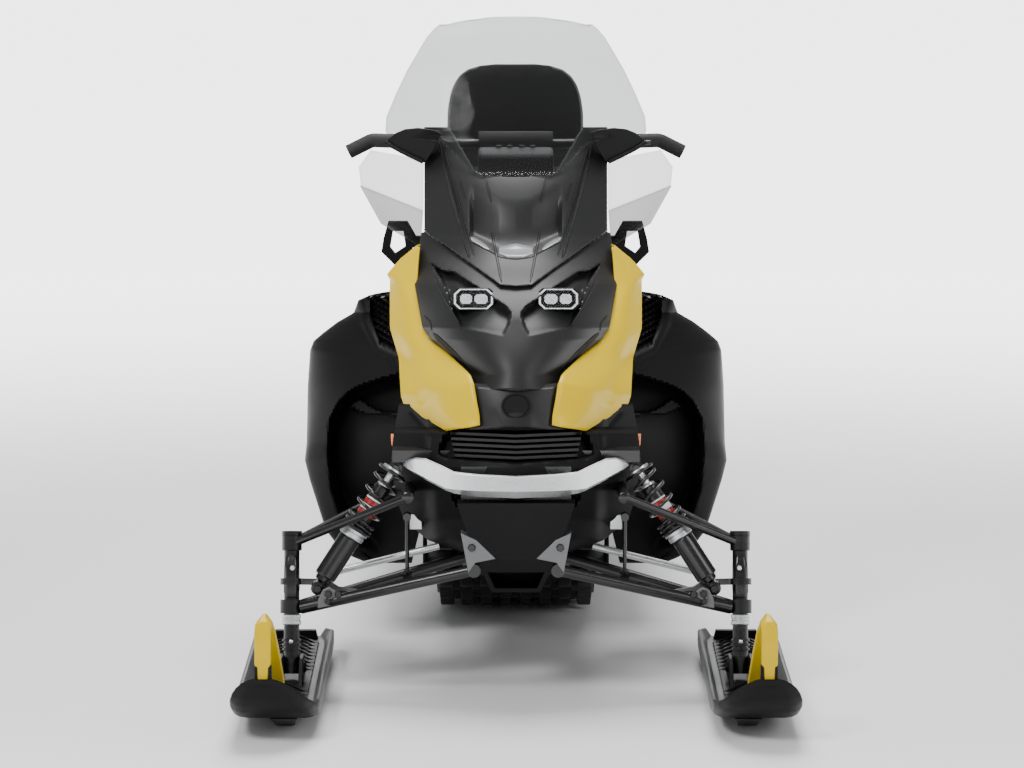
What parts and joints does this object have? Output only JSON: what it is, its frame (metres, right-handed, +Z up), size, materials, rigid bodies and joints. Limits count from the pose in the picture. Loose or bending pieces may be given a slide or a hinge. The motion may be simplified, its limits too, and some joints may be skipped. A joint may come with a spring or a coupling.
{
  "type": "two-seat touring snowmobile",
  "caption": "Two-seat touring snowmobile with steerable skis, a rubber track, tall clear windshield, wide foot wells, backrest and rear rack.",
  "frame": {"origin": "middle of the footprint on the ground", "axes": "front is -Y, up is +Z, the rider's left is +X"},
  "size_m": [1.2, 3.213, 1.4472],
  "materials": {
    "track_rubber": "moulded, dull",
    "bare_aluminium": "satin",
    "black_steel": "satin powder coat",
    "engine_metal": "cast",
    "black_plastic": "matte, moulded",
    "brushed_silver": "brushed",
    "clear_plastic": "clear",
    "seat_cover": "grained cover",
    "black_rubber": "matte",
    "red_lens": "glossy",
    "lamp_lens": "clear",
    "yellow_plastic": "glossy",
    "grey_plastic": "moulded"
  },
  "bodies": {
    "chassis": {"track": "track_rubber", "tunnel": "bare_aluminium", "bulkhead": "black_steel", "engine_block": "engine_metal", "belly_pan": "black_plastic", "front_bumper": "brushed_silver", "nose_grille": "black_plastic", "centre_panel": "black_plastic", "hood": "black_plastic", "windshield": "clear_plastic", "gauge_pod": "black_plastic", "fuel_tank": "black_plastic", "rider_seat": "seat_cover", "passenger_seat": "seat_cover", "backrest_pad": "seat_cover", "rear_rack": "black_steel", "rear_bumper": "black_steel", "snow_flap": "black_rubber", "tail_lamp": "red_lens", "slide_rails": "bare_aluminium", "track_wheels": "black_rubber", "drive_axle": "black_steel", "skid_arms": "black_steel", "steering_post": "black_steel", "dash_wing_left": "black_plastic", "dash_wing_right": "black_plastic", "deflector_left": "clear_plastic", "deflector_right": "clear_plastic", "handhold_left": "black_plastic", "handhold_right": "black_plastic", "running_board_left": "bare_aluminium", "running_board_right": "bare_aluminium", "headlamp_left": "lamp_lens", "headlamp_right": "lamp_lens", "side_panel_left": "yellow_plastic", "side_panel_right": "yellow_plastic", "side_body_left": "black_plastic", "side_body_right": "black_plastic", "lower_arm_left": "black_steel", "lower_arm_right": "black_steel", "upper_arm_left": "black_steel", "upper_arm_right": "black_steel", "shock_left": "bare_aluminium", "shock_right": "bare_aluminium", "spring_left": "black_steel", "spring_right": "black_steel"},
    "steering": {"handlebar": "black_steel", "bar_pad": "black_rubber", "brake_lever": "bare_aluminium", "throttle_block": "black_plastic", "grip_left": "black_rubber", "grip_right": "black_rubber"},
    "knuckle_left": {"spindle_left": "black_steel"},
    "runner_left": {"ski_left": "grey_plastic", "ski_loop_left": "yellow_plastic"},
    "link_left": {"tie_rod_left": "brushed_silver"},
    "knuckle_right": {"spindle_right": "black_steel"},
    "runner_right": {"ski_right": "grey_plastic", "ski_loop_right": "yellow_plastic"},
    "link_right": {"tie_rod_right": "brushed_silver"}
  },
  "joints": [
    {"name": "handlebar_turn", "type": "hinge", "parent": "chassis", "child": "steering", "pos_m": [0, -0.7, 0.62], "axis": [0, 0.6402, 0.7682], "range_deg": [-30, 30]},
    {"name": "kingpin_left_turn", "type": "hinge", "parent": "chassis", "child": "knuckle_left", "pos_m": [0.495, -1.11, 0.069], "axis": [0, 0.2079, 0.9781], "range_deg": [-24, 24]},
    {"name": "ski_left_rock", "type": "hinge", "parent": "knuckle_left", "child": "runner_left", "pos_m": [0.495, -1.11, 0.069], "axis": [1, 0, 0], "range_deg": [-15, 12]},
    {"name": "tie_rod_left_swing", "type": "hinge", "parent": "knuckle_left", "child": "link_left", "pos_m": [0.433, -0.97946, 0.25025], "axis": [0, 0.2079, 0.9781], "range_deg": [-24, 24]},
    {"name": "kingpin_right_turn", "type": "hinge", "parent": "chassis", "child": "knuckle_right", "pos_m": [-0.495, -1.11, 0.069], "axis": [0, 0.2079, 0.9781], "range_deg": [-24, 24]},
    {"name": "ski_right_rock", "type": "hinge", "parent": "knuckle_right", "child": "runner_right", "pos_m": [-0.495, -1.11, 0.069], "axis": [1, 0, 0], "range_deg": [-15, 12]},
    {"name": "tie_rod_right_swing", "type": "hinge", "parent": "knuckle_right", "child": "link_right", "pos_m": [-0.433, -0.97946, 0.25025], "axis": [0, 0.2079, 0.9781], "range_deg": [-24, 24]}
  ],
  "couplings": [
    {"joint": "kingpin_left_turn", "follows": "handlebar_turn", "ratio": 0.8},
    {"joint": "tie_rod_left_swing", "follows": "handlebar_turn", "ratio": -0.8},
    {"joint": "kingpin_right_turn", "follows": "handlebar_turn", "ratio": 0.8},
    {"joint": "tie_rod_right_swing", "follows": "handlebar_turn", "ratio": -0.8}
  ]
}
